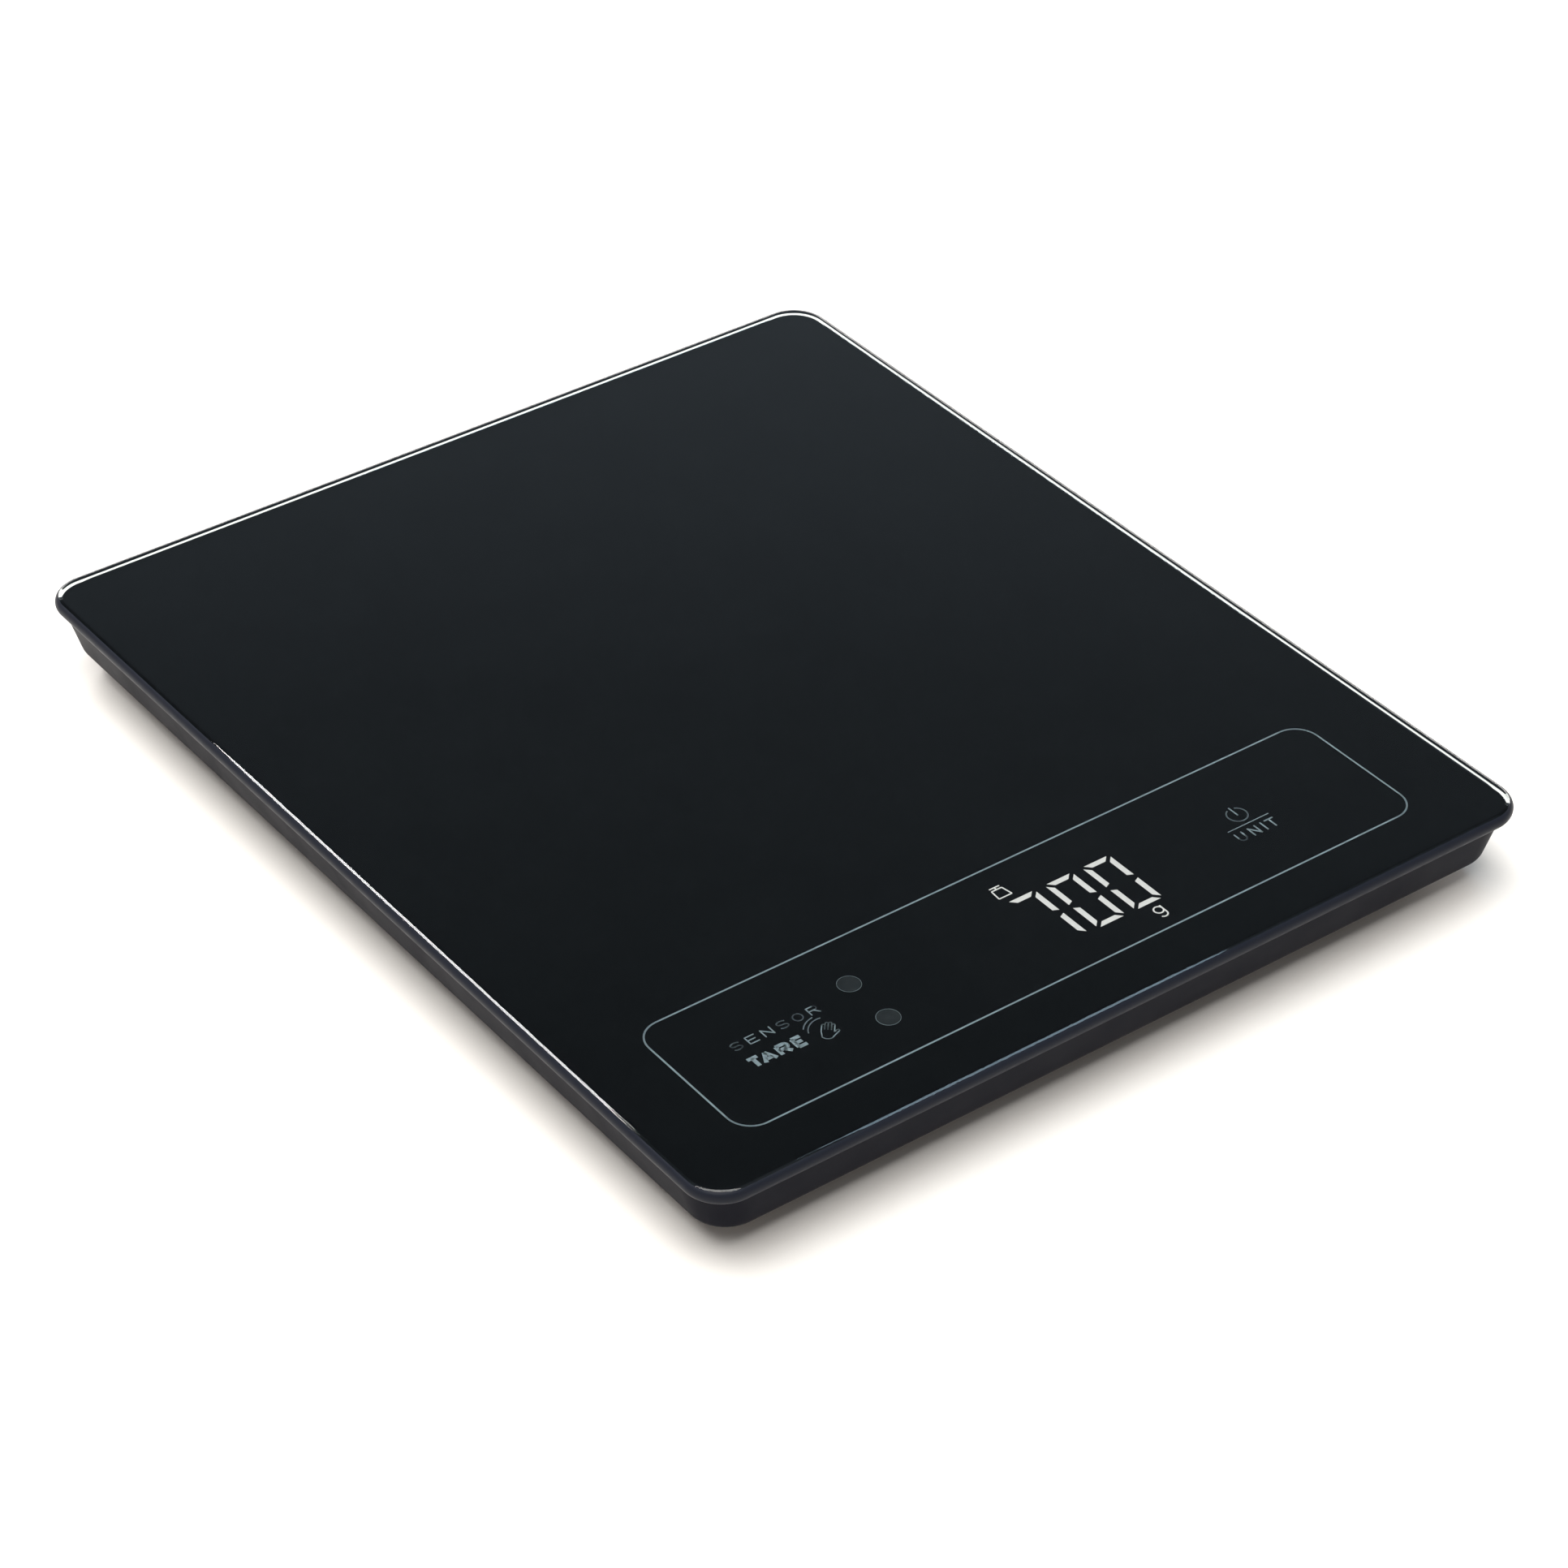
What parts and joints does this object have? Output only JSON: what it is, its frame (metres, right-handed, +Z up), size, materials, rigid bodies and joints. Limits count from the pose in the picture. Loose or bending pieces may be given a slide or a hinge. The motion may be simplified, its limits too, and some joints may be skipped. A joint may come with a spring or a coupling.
{
  "type": "kitchen scale",
  "caption": "Slim rectangular kitchen scale: rounded black glass platform on a tapered tray, lit digits and touch-free tare sensors at the front, sprung feet and a hinged battery door.",
  "frame": {"origin": "centre of the footprint, on the surface that the feet stand on", "axes": "+Z up, +Y away from the user, towards the edge opposite the display, +X to the user's right"},
  "size_m": [0.19, 0.229, 0.018],
  "materials": {
    "glass": "clear tempered glass with a pencil-ground edge",
    "black_print": "black screen print on the glass underside",
    "display_filter": "smoked filter film",
    "sensor_window": "infrared window film",
    "foam_tape": "black foam tape",
    "tray_plastic": "dark grey moulded ABS with a fine texture",
    "load_cell_metal": "milled load cell strip",
    "gauge_sealant": "white sealant",
    "foot_plastic": "dark grey moulded plastic",
    "rubber": "black anti-slip rubber",
    "screw_steel": "zinc-plated steel",
    "circuit_board": "green solder mask",
    "chip_resin": "black moulded resin",
    "chip_resistor": "ceramic chip parts",
    "header_plastic": "off-white nylon",
    "display_plastic": "black light-tight plastic",
    "light_guide": "diffusing resin",
    "clear_resin": "clear moulded epoxy",
    "dark_resin": "dark moulded epoxy",
    "spring_steel": "spring wire",
    "battery_jacket": "plain grey-blue battery sleeve",
    "contact_steel": "nickel-plated spring steel",
    "red_wire": "red insulation",
    "black_wire": "black insulation",
    "grey_wire": "light grey cable jacket"
  },
  "bodies": {
    "scale_body": {"glass_platform": "glass", "back_print": "black_print", "display_filter": "display_filter", "sensor_windows": "sensor_window", "foam_tape": "foam_tape", "tray": "tray_plastic", "load_cell_front_left": "load_cell_metal", "load_cell_front_right": "load_cell_metal", "load_cell_back_left": "load_cell_metal", "load_cell_back_right": "load_cell_metal", "strain_gauges_front_left": "gauge_sealant", "strain_gauges_front_right": "gauge_sealant", "strain_gauges_back_left": "gauge_sealant", "strain_gauges_back_right": "gauge_sealant", "load_cell_screws": "screw_steel", "cell_cable_front_left": "grey_wire", "cell_cable_front_right": "grey_wire", "cell_cable_back_left": "grey_wire", "cell_cable_back_right": "grey_wire", "control_board": "circuit_board", "board_screws": "screw_steel", "controller_chip": "chip_resin", "converter_chip": "chip_resin", "chip_resistors": "chip_resistor", "plug_headers": "header_plastic", "buzzer": "chip_resin", "display_housing": "display_plastic", "display_strokes": "light_guide", "infrared_emitter": "clear_resin", "infrared_receiver": "dark_resin", "sensor_shroud": "display_plastic", "unit_key_spring": "spring_steel", "battery_1": "battery_jacket", "battery_2": "battery_jacket", "battery_3": "battery_jacket", "battery_springs": "spring_steel", "battery_contacts": "contact_steel", "battery_lead_red": "red_wire", "battery_lead_black": "black_wire"},
    "foot_unit_front_left": {"foot_front_left": "foot_plastic", "foot_pad_front_left": "rubber", "foot_screw_front_left": "screw_steel"},
    "foot_unit_front_right": {"foot_front_right": "foot_plastic", "foot_pad_front_right": "rubber", "foot_screw_front_right": "screw_steel"},
    "foot_unit_back_left": {"foot_back_left": "foot_plastic", "foot_pad_back_left": "rubber", "foot_screw_back_left": "screw_steel"},
    "foot_unit_back_right": {"foot_back_right": "foot_plastic", "foot_pad_back_right": "rubber", "foot_screw_back_right": "screw_steel"},
    "door": {"battery_door": "tray_plastic"}
  },
  "joints": [
    {"name": "foot_travel_front_left", "type": "slide", "parent": "scale_body", "child": "foot_unit_front_left", "axis": [0, 0, 1], "range_m": [0, 0.0004], "stiffness_N_per_m": 700, "deforming": ["load_cell_front_left"]},
    {"name": "foot_travel_front_right", "type": "slide", "parent": "scale_body", "child": "foot_unit_front_right", "axis": [0, 0, 1], "range_m": [0, 0.0004], "stiffness_N_per_m": 700, "deforming": ["load_cell_front_right"]},
    {"name": "foot_travel_back_left", "type": "slide", "parent": "scale_body", "child": "foot_unit_back_left", "axis": [0, 0, 1], "range_m": [0, 0.0004], "stiffness_N_per_m": 700, "deforming": ["load_cell_back_left"]},
    {"name": "foot_travel_back_right", "type": "slide", "parent": "scale_body", "child": "foot_unit_back_right", "axis": [0, 0, 1], "range_m": [0, 0.0004], "stiffness_N_per_m": 700, "deforming": ["load_cell_back_right"]},
    {"name": "battery_door_hinge", "type": "hinge", "parent": "scale_body", "child": "door", "pos_m": [0, 0.036, 0.0032], "axis": [1, 0, 0], "range_deg": [0, 80]}
  ]
}
